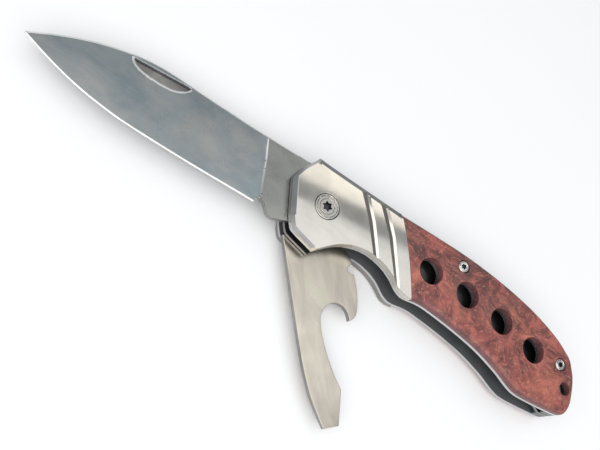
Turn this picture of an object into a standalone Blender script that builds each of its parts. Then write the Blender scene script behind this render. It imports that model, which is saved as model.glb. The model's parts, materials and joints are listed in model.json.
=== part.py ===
"""Two-layer folding pocket knife: a drop-point blade and a bottle opener with a screwdriver tip on one pivot.

The knife lies on its rear side. X runs along the handle with the butt at +X, Y points to the spine, and Z
is the thickness with the front face up. The origin is on the pivot axis, on the plane that the knife lies on.
All lengths are in metres, written as millimetres times MM.
"""

import math

import bmesh
import bpy
from mathutils import Vector

MM = 0.001

# Thicknesses, from the rear face at z = 0 to the front face.
SCALE_T = 2.1 * MM  # scales and bolsters
LINER_T = 1.35 * MM
CENTRE_LINER_T = 1.1 * MM
BLADE_T = 1.9 * MM
TOOL_T = 1.8 * MM
SIDE_PLAY = 0.25 * MM  # between a tang and the liner beside it
SEAM = 0.2 * MM  # between pieces that are screwed together
FIT = 0.2 * MM  # round a pin or a screw in its hole

REAR_LINER_Z = SCALE_T + SEAM
TOOL_SLOT_Z = SCALE_T + LINER_T
TOOL_Z = TOOL_SLOT_Z + SIDE_PLAY
CENTRE_LINER_Z = TOOL_Z + TOOL_T + SIDE_PLAY
BLADE_Z = CENTRE_LINER_Z + CENTRE_LINER_T + SIDE_PLAY
FRONT_LINER_Z = BLADE_Z + BLADE_T + SIDE_PLAY
FRONT_SCALE_Z = FRONT_LINER_Z + LINER_T
FULL_T = FRONT_SCALE_Z + SCALE_T

# The pivot and the screws.
PIVOT_R = 2.4 * MM
PIVOT_HEAD_R = 3.6 * MM
PIVOT_HEAD_T = 1.2 * MM
PIVOT_SCREW_R = 1.1 * MM
PIVOT_SCREW_END = 5 * MM  # height of the screw's lower end inside the barrel
BARREL_FLOOR = 3 * MM
WASHER_R = 4.2 * MM
WASHER_T = 0.25 * MM
WASHER_SEAT = 0.2 * MM  # depth of the seat in the tang
TANG_R = 8.15 * MM
SPRING_CLEAR_Y = 8.5 * MM  # underside of the springs over the tangs
FORE_PIN = (44.3 * MM, 9.4 * MM)
AFT_PIN = (84.8 * MM, 0.9 * MM)
PILLAR_R = 1.6 * MM
PILLAR_BORE_R = 1.0 * MM
SCREW_HEAD_R = 1.65 * MM
SCREW_HEAD_T = 0.9 * MM
SCREW_SHANK_R = 0.75 * MM
SCREW_SINK = 0.4 * MM  # the heads lie this far under the wood
SCREW_GRIP = 1.4 * MM  # how far a screw reaches into its pillar
COUNTERBORE_R = 1.95 * MM

# The shape of the scales and bolsters across their thickness.
SCALE_ROUND = 1.4 * MM
FRONT_BOLSTER_ROUND = 0.45 * MM
REAR_BOLSTER_ROUND = 1.2 * MM
GROOVES = [((8.4, 10.4), (18.6, -4.3)), ((14.9, 10.6), (26.4, -6.1))]  # in millimetres
GROOVE_BOW = 0.4 * MM
GROOVE_HALF_WIDTH = 1.1 * MM
GROOVE_DEPTH = 0.6 * MM

# Holes through the scales and the liners.
HOLE_R = 3.8 * MM
HOLES = [(35.2 * MM, 1.9 * MM), (48.3 * MM, 2.2 * MM), (61.4 * MM, 1.4 * MM), (74.3 * MM, -0.5 * MM)]
LANYARD = (88.2 * MM, -5.2 * MM)
LANYARD_R = 1.9 * MM

# The tool is drawn as it lies closed and then turned about the pivot to its place.
TOOL_ANGLE = math.radians(-55)

# Driver recesses.
LOBE_SHARE = 0.16  # how far the lobes stand out, as a share of the mean radius
PIVOT_RECESS_R = 1.35 * MM
PIVOT_RECESS_DEPTH = 0.8 * MM
SCREW_RECESS_R = 0.75 * MM
SCREW_RECESS_DEPTH = 0.5 * MM

EDGE_EASE = 0.2 * MM  # chamfer on the heads of the pivot and the screws
ROUND_STEPS = 28
SMALL_ROUND_STEPS = 18
HAIR = 0.05 * MM


def scaled(points):
    return [Vector((x * MM, y * MM)) for x, y in points]


def smooth(points, steps=3):
    """Points along a Catmull-Rom curve through the given ones, ends included."""
    curve = []
    for i in range(len(points) - 1):
        before = points[i - 1] if i else 2 * points[0] - points[1]
        a = points[i]
        b = points[i + 1]
        after = points[i + 2] if i + 2 < len(points) else 2 * b - a
        for k in range(steps):
            t = k / steps
            curve.append(
                0.5
                * (
                    2 * a
                    + (b - before) * t
                    + (2 * before - 5 * a + 4 * b - after) * t**2
                    + (3 * a - before - 3 * b + after) * t**3
                )
            )
    return curve + [points[-1]]


def arc(centre, radius, start, end, steps=8):
    """Points on an arc, from and to angles in degrees."""
    return [
        Vector(
            (
                centre[0] + radius * math.cos(math.radians(start + (end - start) * k / steps)),
                centre[1] + radius * math.sin(math.radians(start + (end - start) * k / steps)),
            )
        )
        for k in range(steps + 1)
    ]


def bowed(start, end, bow, steps=6):
    """Points on a shallow curve whose middle stands off the straight line by bow, to its left."""
    side = (end - start).orthogonal().normalized()
    return [
        start.lerp(end, k / steps) + side * bow * (1 - (2 * k / steps - 1) ** 2)
        for k in range(steps + 1)
    ]


def joined(*runs):
    """One outline from runs that follow each other, with shared end points kept once."""
    outline = []
    for point in (p for run in runs for p in run):
        if not outline or (point - outline[-1]).length > HAIR:
            outline.append(point)
    if (outline[0] - outline[-1]).length < HAIR:
        outline.pop()
    return outline


def material(name, colour, roughness, metallic):
    made = bpy.data.materials.new(name)
    made.use_nodes = True
    shader = made.node_tree.nodes["Principled BSDF"]
    shader.inputs["Base Color"].default_value = (*colour, 1)
    shader.inputs["Roughness"].default_value = roughness
    shader.inputs["Metallic"].default_value = metallic
    return made


def finish(mesh, name, look=None, parent=None):
    """The mesh as an object with its normals out, round faces smooth and its material set."""
    bmesh.ops.remove_doubles(mesh, verts=mesh.verts, dist=1e-7)
    bmesh.ops.recalc_face_normals(mesh, faces=mesh.faces)
    data = bpy.data.meshes.new(name)
    mesh.to_mesh(data)
    mesh.free()
    data.shade_smooth()
    data.set_sharp_from_angle(angle=math.radians(35))
    made = bpy.data.objects.new(name, data)
    bpy.context.scene.collection.objects.link(made)
    if look is None:
        made.hide_render = True
        made.display_type = "WIRE"
    else:
        data.materials.append(look)
        made.parent = parent
    return made


def prism_mesh(outline, bottom, top):
    mesh = bmesh.new()
    low = [mesh.verts.new((*p, bottom)) for p in outline]
    face = mesh.faces.new(low)
    raised = bmesh.ops.extrude_face_region(mesh, geom=[face])["geom"]
    verts = [g for g in raised if isinstance(g, bmesh.types.BMVert)]
    bmesh.ops.translate(mesh, verts=verts, vec=(0, 0, top - bottom))
    return mesh


def ease_rim(mesh, height, width, segments, keep=None):
    """Rounds the rim at this height, apart from the edges whose middle keep() picks."""
    rim = [
        edge
        for edge in mesh.edges
        if all(abs(v.co.z - height) < HAIR for v in edge.verts)
        and not (keep and keep((edge.verts[0].co + edge.verts[1].co) / 2))
    ]
    bmesh.ops.bevel(mesh, geom=rim, offset=width, segments=segments, profile=0.5, affect="EDGES")


def turned_mesh(profile, centre=(0, 0), steps=ROUND_STEPS):
    """A body of revolution about a Z axis at centre, from a profile of (radius, height) points.

    A profile that starts and ends on the axis gives a solid with flat ends, and any other a ring.
    """
    solid = profile[0][0] < HAIR
    mesh = bmesh.new()
    rings = [
        [
            mesh.verts.new((*(Vector(centre) + p), height))
            for p in arc((0, 0), radius, 0, 360, steps)[:-1]
        ]
        for radius, height in (profile[1:-1] if solid else profile)
    ]
    if solid:
        mesh.faces.new(rings[0])
        mesh.faces.new(rings[-1])
    pairs = zip(rings, rings[1:] if solid else rings[1:] + rings[:1])
    for lower, upper in pairs:
        for k in range(steps):
            after = (k + 1) % steps
            mesh.faces.new((lower[k], lower[after], upper[after], upper[k]))
    return mesh


def combined(meshes):
    """Several closed bodies that don't touch in one mesh, for a cutter."""
    whole = bmesh.new()
    for mesh in meshes:
        piece = bpy.data.meshes.new("piece")
        mesh.to_mesh(piece)
        mesh.free()
        whole.from_mesh(piece)
        bpy.data.meshes.remove(piece)
    return whole


def boolean(target, tool, operation="DIFFERENCE"):
    modifier = target.modifiers.new(tool.name, "BOOLEAN")
    modifier.operation = operation
    modifier.solver = "EXACT"
    modifier.object = tool


def bore(radius, centre, bottom, top):
    return turned_mesh([(0, bottom), (radius, bottom), (radius, top), (0, top)], centre)


def counterbore(radius, centre, narrow_end, shoulder, wide_end, head_radius):
    """A stepped hole, wide on the side of its shoulder where the head lies."""
    profile = [(0, narrow_end), (radius, narrow_end), (radius, shoulder)]
    profile += [(head_radius, shoulder), (head_radius, wide_end), (0, wide_end)]
    return turned_mesh(profile, centre)


def lobed(radius, centre=(0, 0), steps=24):
    """The outline of a six-lobed driver recess."""
    angles = [2 * math.pi * k / steps for k in range(steps)]
    reaches = [radius * (1 + LOBE_SHARE * math.cos(6 * angle)) for angle in angles]
    return [
        Vector(centre) + Vector((reach * math.cos(angle), reach * math.sin(angle)))
        for angle, reach in zip(angles, reaches)
    ]


# ---------------------------------------------------------------- outlines of the handle, in millimetres

NOSE_TOP = (-7.4, 11.7)
NOSE_POINT = (-11.6, 2.6)
SEAM_TOP = (20.4, 11.9)
SEAM_FOOT = (33.0, -8.6)
SEAM_BOW = 0.6
TAIL_CORNER = (86.3, -13.2)

BOLSTER_SPINE = [NOSE_TOP, (-3, 11.6), (7, 11.7), SEAM_TOP]
SCALE_SPINE = [SEAM_TOP, (33, 12.7), (46, 13.2), (60, 12.5), (72, 10.7), (82, 7.7), (87.8, 4.4)]
BUTT = [(87.8, 4.4), (90.6, -0.2), (91.9, -6.0), (91.8, -9.6), (90.2, -12.3), TAIL_CORNER]
BELLY = [TAIL_CORNER, (80, -14.0), (74.5, -14.4), (71, -13.7), (66, -11.8), (58, -9.7)]
BELLY += [(49, -8.5), (40, -7.9), (36, -8.0), SEAM_FOOT]
ARCH = [SEAM_FOOT, (30.6, -8.8), (28.2, -7.9), (25.4, -6.0), (21.5, -4.5), (16.5, -4.0)]
ARCH += [(11.6, -5.1), (7.2, -7.6), (2.4, -12.3)]
CHIN = [(2.4, -12.3), (-3.6, -10.9)]
CHIN_ROUND = [(-3.6, -10.9), (-5.3, -10.3), (-6.4, -9.0), (-7.8, -6.6)]
NOSE = [(-7.8, -6.6), NOSE_POINT]
NOSE_BROW = [NOSE_POINT, (-10.3, 6.6), NOSE_TOP]

# The underside of the back springs, from the belly end of the butt to the nose.
SPRING_UNDER = [TAIL_CORNER, (87.3, -9), (88.5, -4.8), (87.4, -2.4), (84.6, -1.9), (81.9, 0.1)]
SPRING_UNDER += [(79, 3.9), (72, 6.4), (62, 8.2), (52, 8.5), (48, 7.3), (44.3, 6.4), (40.6, 7.3)]
SPRING_UNDER += [(36, 9.0), (24, 9.1), (14, 9.25), (6, 8.5)]


def handle_outline():
    """Bolster and scale as one, for the liners."""
    return joined(
        smooth(scaled(BOLSTER_SPINE + SCALE_SPINE[1:]), 2),
        smooth(scaled(BUTT)),
        smooth(scaled(BELLY)),
        smooth(scaled(ARCH)),
        scaled(CHIN),
        smooth(scaled(CHIN_ROUND)),
        scaled(NOSE),
        smooth(scaled(NOSE_BROW)),
    )


def seam(shift=0.0):
    """The line where wood meets bolster, from the spine to the belly, moved along X by shift."""
    top, foot = scaled([SEAM_TOP, SEAM_FOOT])
    return [p + Vector((shift, 0)) for p in bowed(top, foot, SEAM_BOW * MM)]


def on_seam(point):
    """Whether a point lies on the line between bolster and wood, which stays sharp."""
    foot = seam()[-1]
    across = (seam()[0] - foot).orthogonal().normalized()
    return abs((point.xy - foot).dot(across)) < 2 * SEAM_BOW * MM


def bolster_outline():
    return joined(
        list(reversed(seam())),
        list(reversed(smooth(scaled(BOLSTER_SPINE), 2))),
        list(reversed(smooth(scaled(NOSE_BROW)))),
        list(reversed(scaled(NOSE))),
        list(reversed(smooth(scaled(CHIN_ROUND)))),
        list(reversed(scaled(CHIN))),
        list(reversed(smooth(scaled(ARCH)))),
    )


def scale_outline():
    spine = smooth(scaled(SCALE_SPINE), 2)[1:]
    belly = smooth(scaled(BELLY))[:-1]
    edge = seam(SEAM)
    return joined(spine, smooth(scaled(BUTT)), belly, list(reversed(edge)))


def spring_outline(nose_x):
    """A back spring, from its end over the tang at nose_x round the butt."""
    top = [p for p in smooth(scaled(BOLSTER_SPINE + SCALE_SPINE[1:]), 2) if p.x > nose_x + MM]
    end = [Vector((nose_x, SPRING_CLEAR_Y)), Vector((nose_x, 11.6 * MM))]
    return joined(end, top, smooth(scaled(BUTT)), smooth(scaled(SPRING_UNDER), 2))


def centre_liner_outline():
    """It shows at the nose, and is cut back behind the arch and along the belly."""
    inner = [(2.4, -12.3), (6.5, -6.0), (14, -1.5), (26, -2.6), (40, -3.2), (60, -4.6), (76, -8.6)]
    inner.append(TAIL_CORNER)
    return joined(
        smooth(scaled(BOLSTER_SPINE + SCALE_SPINE[1:]), 2),
        smooth(scaled(BUTT)),
        list(reversed(smooth(scaled(inner)))),
        scaled(CHIN),
        smooth(scaled(CHIN_ROUND)),
        scaled(NOSE),
        smooth(scaled(NOSE_BROW)),
    )


# ---------------------------------------------------------------- pieces of the handle


def through_holes(bottom, top):
    """Cutters for what every liner and scale has along its length."""
    cutters = [bore(HOLE_R, centre, bottom, top) for centre in HOLES]
    return cutters + [bore(LANYARD_R, LANYARD, bottom, top)]


def liner(name, bottom, look, parent):
    top = bottom + LINER_T - SEAM
    made = finish(prism_mesh(handle_outline(), bottom, top), name, look, parent)
    cutters = through_holes(bottom - MM, top + MM)
    cutters.append(bore(PIVOT_R + FIT, (0, 0), bottom - MM, top + MM))
    for pin in (FORE_PIN, AFT_PIN):
        cutters.append(bore(SCREW_SHANK_R + FIT, pin, bottom - MM, top + MM))
    boolean(made, finish(combined(cutters), name + "_cutter"))


def centre_liner(look, parent):
    top = CENTRE_LINER_Z + CENTRE_LINER_T
    made = finish(prism_mesh(centre_liner_outline(), CENTRE_LINER_Z, top), "centre_liner", look, parent)
    cutters = [bore(PIVOT_R + FIT, (0, 0), CENTRE_LINER_Z - MM, top + MM)]
    for pin in (FORE_PIN, AFT_PIN):
        cutters.append(bore(PILLAR_R + FIT, pin, CENTRE_LINER_Z - MM, top + MM))
    cutters.append(bore(LANYARD_R, LANYARD, CENTRE_LINER_Z - MM, top + MM))
    boolean(made, finish(combined(cutters), "centre_liner_cutter"))


def scale(name, outer, inner, look, parent):
    """A wood scale between its face at z = outer and the liner at z = inner, its outer rim rounded."""
    up = 1 if outer > inner else -1
    mesh = prism_mesh(scale_outline(), min(outer, inner), max(outer, inner))
    ease_rim(mesh, outer, SCALE_ROUND, 2, on_seam)
    made = finish(mesh, name, look, parent)
    far = outer + up * MM
    near = inner - up * MM
    cutters = [bore(HOLE_R, centre, min(near, far), max(near, far)) for centre in HOLES]
    cutters.append(bore(LANYARD_R, LANYARD, min(near, far), max(near, far)))
    shoulder = outer - up * (SCREW_SINK + SCREW_HEAD_T + HAIR)
    for pin in (FORE_PIN, AFT_PIN):
        cutters.append(counterbore(SCREW_SHANK_R + FIT, pin, near, shoulder, far, COUNTERBORE_R))
    boolean(made, finish(combined(cutters), name + "_cutter"))


def groove_mesh(start, end, height, up):
    """A V-shaped cutter along a bowed line on the bolster's face."""
    line = bowed(*scaled([start, end]), GROOVE_BOW)
    line = [line[0] + (line[0] - line[1])] + line + [line[-1] + (line[-1] - line[-2])]
    mesh = bmesh.new()
    rings = []
    for i, point in enumerate(line):
        ahead = line[min(i + 1, len(line) - 1)] - line[max(i - 1, 0)]
        side = ahead.orthogonal().normalized() * GROOVE_HALF_WIDTH * 1.5
        lip = height + up * GROOVE_DEPTH / 2
        corners = [(*(point - side), lip), (*(point + side), lip), (*point, height - up * GROOVE_DEPTH)]
        rings.append([mesh.verts.new(corner) for corner in corners])
    mesh.faces.new(rings[0])
    mesh.faces.new(rings[-1])
    for lower, upper in zip(rings, rings[1:]):
        for k in range(3):
            after = (k + 1) % 3
            mesh.faces.new((lower[k], lower[after], upper[after], upper[k]))
    return mesh


def bolster(name, outer, inner, ease, look, parent):
    """A steel bolster with two slanting grooves and the pivot's sunk seat."""
    up = 1 if outer > inner else -1
    mesh = prism_mesh(bolster_outline(), min(outer, inner), max(outer, inner))
    ease_rim(mesh, outer, ease, 2, on_seam)
    made = finish(mesh, name, look, parent)
    shoulder = outer - up * (PIVOT_HEAD_T + HAIR)
    seat = counterbore(PIVOT_R + FIT, (0, 0), inner - up * MM, shoulder, outer + up * MM, PIVOT_HEAD_R + FIT)
    boolean(made, finish(seat, name + "_seat"))
    grooves = [groove_mesh(start, end, outer, up) for start, end in GROOVES]
    boolean(made, finish(combined(grooves), name + "_grooves"))


def back_spring(name, bottom, thickness, nose_x, look, parent):
    """It runs along the spine over the tang, and its tail closes the butt."""
    made = finish(prism_mesh(spring_outline(nose_x), bottom, bottom + thickness), name, look, parent)
    cutters = [bore(PILLAR_R + FIT, pin, bottom - MM, bottom + thickness + MM) for pin in (FORE_PIN, AFT_PIN)]
    cutters.append(bore(LANYARD_R, LANYARD, bottom - MM, bottom + thickness + MM))
    boolean(made, finish(combined(cutters), name + "_cutter"))


def pillar(name, centre, look, parent):
    """A spacer tube between the liners that the scale screws turn into."""
    bottom = TOOL_SLOT_Z + SEAM / 2
    top = FRONT_LINER_Z - SEAM / 2
    profile = [(PILLAR_BORE_R, bottom), (PILLAR_R, bottom), (PILLAR_R, top), (PILLAR_BORE_R, top)]
    finish(turned_mesh(profile, centre, SMALL_ROUND_STEPS), name, look, parent)


def scale_screw(name, centre, outer, up, look, parent):
    """A small pan of a head with a six-lobed recess and a shank that ends in the pillar."""
    face = outer - up * SCREW_SINK
    under = face - up * SCREW_HEAD_T
    end = outer - up * (SCALE_T + LINER_T + SCREW_GRIP)
    profile = [(0, end), (SCREW_SHANK_R, end), (SCREW_SHANK_R, under), (SCREW_HEAD_R, under)]
    profile += [(SCREW_HEAD_R, face - up * EDGE_EASE), (SCREW_HEAD_R - EDGE_EASE, face), (0, face)]
    made = finish(turned_mesh(profile, centre, SMALL_ROUND_STEPS), name, look, parent)
    ends = sorted([face - up * SCREW_RECESS_DEPTH, face + up * SEAM])
    boolean(made, finish(prism_mesh(lobed(SCREW_RECESS_R, centre), *ends), name + "_recess"))


def pivot(look, parent):
    """A headed barrel from the rear and a headed screw that turns into it from the front."""
    top = FULL_T - PIVOT_HEAD_T - 2 * SEAM
    bore_r = PIVOT_SCREW_R + FIT
    profile = [(0, 0), (PIVOT_HEAD_R - EDGE_EASE, 0), (PIVOT_HEAD_R, EDGE_EASE), (PIVOT_HEAD_R, PIVOT_HEAD_T)]
    profile += [(PIVOT_R, PIVOT_HEAD_T), (PIVOT_R, top), (bore_r, top)]
    profile += [(bore_r, BARREL_FLOOR), (0, BARREL_FLOOR)]
    finish(turned_mesh(profile), "pivot_barrel", look, parent)
    under = FULL_T - PIVOT_HEAD_T
    profile = [(0, PIVOT_SCREW_END), (PIVOT_SCREW_R, PIVOT_SCREW_END), (PIVOT_SCREW_R, under)]
    profile += [(PIVOT_HEAD_R, under), (PIVOT_HEAD_R, FULL_T - EDGE_EASE), (PIVOT_HEAD_R - EDGE_EASE, FULL_T)]
    profile.append((0, FULL_T))
    made = finish(turned_mesh(profile), "pivot_screw", look, parent)
    recess = prism_mesh(lobed(PIVOT_RECESS_R), FULL_T - PIVOT_RECESS_DEPTH, FULL_T + SEAM)
    boolean(made, finish(recess, "pivot_screw_recess"))


def washer(name, bottom, look, parent):
    profile = [(PIVOT_R + FIT, bottom), (WASHER_R, bottom), (WASHER_R, bottom + WASHER_T)]
    profile.append((PIVOT_R + FIT, bottom + WASHER_T))
    finish(turned_mesh(profile), name, look, parent)


# ---------------------------------------------------------------- main blade

BLADE_SPINE = [(-8.4, 10.6), (-28, 9.3), (-47, 8.7), (-53, 8.5), (-59, 7.7), (-66, 5.7), (-73, 2.9)]
BLADE_SPINE += [(-80, -0.9), (-86.6, -5.3)]
BLADE_EDGE = [(-86.6, -5.3), (-80, -7.3), (-74, -8.8), (-68, -9.9), (-62, -10.5), (-56, -10.8)]
BLADE_EDGE += [(-45, -10.5), (-33, -9.9), (-21, -9.1), (-17.4, -8.9)]
CHOIL = [(-17.8, -7.1), (-16.2, -7.2), (-14.8, -7.7), (-13.4, -9.2), (-12.2, -10.1)]
KICK = [(-12.2, -10.1), (-10.9, -10.0), (-6.2, -8.0)]
PLUNGE = [(-21.8, 9.7), (-17.9, -4.6), (-17.8, -7.1)]
NICK_ARC = [(-62.4, 5.9), (-60, 4.2), (-56.2, 3.7), (-51, 4.1), (-46.2, 6.9)]
NICK_TOP = [(-46.9, 7.6), (-58.4, 6.3)]
NICK_FLOOR = 0.52 * MM  # height of the nail nick's floor over the blade's middle
GRIND_START = -86.3 * MM
GRIND_END = -17.3 * MM
GRIND_WIDTH = 19.5 * MM
GRIND_SINK = 0.1 * MM  # the ground part's spine runs this far inside the tang
BEVEL_WIDTH = 0.7 * MM
BEVEL_HALF = 0.28 * MM  # half thickness where the cutting bevel starts
EDGE_HALF = 0.05 * MM


def height_at(curve, x):
    """The Y of a curve, given as points in order of X, at this X."""
    ordered = sorted(curve, key=lambda p: p.x)
    for a, b in zip(ordered, ordered[1:]):
        if a.x <= x <= b.x:
            return a.y + (b.y - a.y) * (x - a.x) / max(b.x - a.x, HAIR / 10)
    return ordered[0].y if x < ordered[0].x else ordered[-1].y


def ground_mesh(middle):
    """The flat-ground part, from just behind the tip to the plunge line, as sections across the blade."""
    spine = smooth(scaled(BLADE_SPINE))
    edge = smooth(scaled(BLADE_EDGE))
    stations = 26
    mesh = bmesh.new()
    rings = []
    for i in range(stations + 1):
        x = GRIND_START + (GRIND_END - GRIND_START) * (i / stations) ** 1.3
        top = height_at(spine, x) - GRIND_SINK * (x > (PLUNGE[0][0] - 1) * MM)
        low = height_at(edge, x)
        bevel = low + min(BEVEL_WIDTH, (top - low) * 0.35)
        thick = min(BEVEL_HALF + (BLADE_T / 2 - BEVEL_HALF) * (top - bevel) / GRIND_WIDTH, BLADE_T / 2)
        section = [(top, thick), (bevel, BEVEL_HALF), (low, EDGE_HALF)]
        ring = [mesh.verts.new((x, y, middle + half)) for y, half in section]
        ring += [mesh.verts.new((x, y, middle - half)) for y, half in reversed(section)]
        rings.append(ring)
    mesh.faces.new(rings[0])
    mesh.faces.new(rings[-1])
    for lower, upper in zip(rings, rings[1:]):
        for k in range(6):
            after = (k + 1) % 6
            mesh.faces.new((lower[k], lower[after], upper[after], upper[k]))
    return mesh


def tang_bore(bottom, top):
    """The hole for the barrel through a tang, with a shallow seat for a washer in each face."""
    wide = WASHER_R + FIT
    narrow = PIVOT_R + FIT
    profile = [(0, bottom - MM), (wide, bottom - MM), (wide, bottom + WASHER_SEAT)]
    profile += [(narrow, bottom + WASHER_SEAT), (narrow, top - WASHER_SEAT), (wide, top - WASHER_SEAT)]
    profile += [(wide, top + MM), (0, top + MM)]
    return turned_mesh(profile)


def main_blade(look, parent):
    middle = BLADE_Z + BLADE_T / 2
    top = BLADE_Z + BLADE_T
    spine = [p for p in smooth(scaled(BLADE_SPINE)) if p.x > PLUNGE[0][0] * MM]
    tang = joined(
        spine,
        scaled(PLUNGE),
        smooth(scaled(CHOIL)),
        scaled(KICK),
        arc((0, 0), TANG_R, -125, 90, 22),
        [Vector((-8.2 * MM, TANG_R))],
    )
    made = finish(prism_mesh(tang, BLADE_Z, top), "main_blade", look, parent)
    boolean(made, finish(ground_mesh(middle), "main_blade_grind"), "UNION")
    boolean(made, finish(tang_bore(BLADE_Z, top), "main_blade_bore"))
    nick = joined(smooth(scaled(NICK_ARC)), scaled(NICK_TOP))
    boolean(made, finish(prism_mesh(nick, middle + NICK_FLOOR, top + MM), "main_blade_nick"))


# ---------------------------------------------------------------- bottle opener with a screwdriver tip

TOOL_BACK = [(5.6, -10.6), (13, -10.4), (26, -10.2), (38, -9.9), (44, -9.4), (49, -8.6), (56.4, -6.4)]
TOOL_TIP = [(56.4, -6.4), (56.2, -1.9), (47.3, 0.2)]
TOOL_SHANK = [(47.3, 0.2), (44, -1.0), (40, -2.0), (36, -2.7), (31.5, -3.1), (28, -2.7), (26, -1.4)]
TOOL_SHANK += [(24.8, 0.7), (24.7, 2.8), (25.8, 4.6), (27.5, 5.5), (29.7, 5.8)]
TOOL_HOOK = [(29.7, 5.8), (29.3, 7.0), (28, 8.2), (25, 9.1), (21, 9.5), (17.1, 9.3)]
TOOL_NOTCH = [(17.1, 9.3), (16.9, 8.3), (15.8, 7.5), (14.7, 8.1), (14.4, 9.1)]
TOOL_TANG = [(14.4, 9.1), (12.4, 9.0), (7.0, 4.2)]


def half_opened(points):
    """Points turned about the pivot from where the tool lies closed to where it stands half open."""
    cos = math.cos(TOOL_ANGLE)
    sin = math.sin(TOOL_ANGLE)
    return [Vector((p.x * cos - p.y * sin, p.x * sin + p.y * cos)) for p in points]


def tip_wedge(face, out):
    """What thins the driver tip from one face, which looks along Z by out."""
    wedge = bmesh.new()
    ends = half_opened(scaled([(49, -12), (49, 4), (60, 4), (60, -12)]))
    depths = [0.1 * MM, 0.1 * MM, -0.6 * MM, -0.6 * MM]
    low = [wedge.verts.new((*p, face + out * d)) for p, d in zip(ends, depths)]
    high = [wedge.verts.new((*p, face + out * MM)) for p in ends]
    wedge.faces.new(low)
    wedge.faces.new(high)
    for k in range(4):
        after = (k + 1) % 4
        wedge.faces.new((low[k], low[after], high[after], high[k]))
    return wedge


def bottle_opener(look, parent):
    outline = joined(
        smooth(scaled(TOOL_BACK), 2),
        scaled(TOOL_TIP),
        smooth(scaled(TOOL_SHANK), 2),
        smooth(scaled(TOOL_HOOK), 2),
        smooth(scaled(TOOL_NOTCH)),
        scaled(TOOL_TANG),
        arc((0, 0), TANG_R, 31, 308, 28),
    )
    top = TOOL_Z + TOOL_T
    made = finish(prism_mesh(half_opened(outline), TOOL_Z, top), "bottle_opener", look, parent)
    cutters = [tang_bore(TOOL_Z, top), tip_wedge(top, 1), tip_wedge(TOOL_Z, -1)]
    boolean(made, finish(combined(cutters), "bottle_opener_cutter"))


# ---------------------------------------------------------------- the knife

for old in list(bpy.data.objects):
    bpy.data.objects.remove(old)

bolster_steel = material("bolster_steel", (0.66, 0.62, 0.55), 0.22, 1.0)
liner_steel = material("liner_steel", (0.60, 0.58, 0.56), 0.3, 1.0)
blade_steel = material("blade_steel", (0.24, 0.28, 0.30), 0.25, 1.0)
tool_steel = material("tool_steel", (0.62, 0.58, 0.48), 0.35, 1.0)
spring_steel = material("spring_steel", (0.45, 0.45, 0.44), 0.3, 1.0)
screw_steel = material("screw_steel", (0.55, 0.53, 0.50), 0.3, 1.0)
bronze = material("bronze", (0.55, 0.36, 0.18), 0.35, 1.0)
red_burl = material("red_burl", (0.32, 0.11, 0.09), 0.4, 0.0)


def pivot_empty(name):
    """An empty on the pivot axis that a moving piece hangs from."""
    made = bpy.data.objects.new(name, None)
    bpy.context.scene.collection.objects.link(made)
    return made


handle = pivot_empty("handle")
blade_joint = pivot_empty("blade_joint")
tool_joint = pivot_empty("tool_joint")

scale("front_scale", FULL_T, FRONT_SCALE_Z, red_burl, handle)
scale("rear_scale", 0, SCALE_T, red_burl, handle)
bolster("front_bolster", FULL_T, FRONT_SCALE_Z, FRONT_BOLSTER_ROUND, bolster_steel, handle)
bolster("rear_bolster", 0, SCALE_T, REAR_BOLSTER_ROUND, bolster_steel, handle)
liner("front_liner", FRONT_LINER_Z, liner_steel, handle)
liner("rear_liner", REAR_LINER_Z, liner_steel, handle)
centre_liner(liner_steel, handle)
back_spring("blade_back_spring", BLADE_Z, BLADE_T, -7.7 * MM, spring_steel, handle)
back_spring("tool_back_spring", TOOL_Z, TOOL_T, -4.8 * MM, spring_steel, handle)
pivot(screw_steel, handle)
for place, pin in (("fore", FORE_PIN), ("aft", AFT_PIN)):
    pillar(f"{place}_pillar", pin, screw_steel, handle)
    scale_screw(f"front_{place}_screw", pin, FULL_T, 1, screw_steel, handle)
    scale_screw(f"rear_{place}_screw", pin, 0, -1, screw_steel, handle)
for tang, low, thickness, joint in (
    ("blade", BLADE_Z, BLADE_T, blade_joint),
    ("tool", TOOL_Z, TOOL_T, tool_joint),
):
    play = (SIDE_PLAY + WASHER_SEAT - WASHER_T) / 2
    washer(f"{tang}_washer_rear", low - SIDE_PLAY + play, bronze, handle)
    washer(f"{tang}_washer_front", low + thickness - WASHER_SEAT + play, bronze, handle)
main_blade(blade_steel, blade_joint)
bottle_opener(tool_steel, tool_joint)
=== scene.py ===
"""The looks of the folding knife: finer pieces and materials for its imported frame, and its studio.

A plate's outline is read from its CAD node as a section across it, and a screw's from its node's box. What
is added is the relief on the faces: ground bevels, grooves, eased edges, screw recesses. Lengths are in
metres, written as millimetres times MM, but a line given as a list of points is in millimetres. Z is the
thickness, and the front face looks up.
"""

import json
import math

import bpy
import numpy as np
from mathutils import Matrix, Vector
from mathutils.geometry import delaunay_2d_cdt

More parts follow.
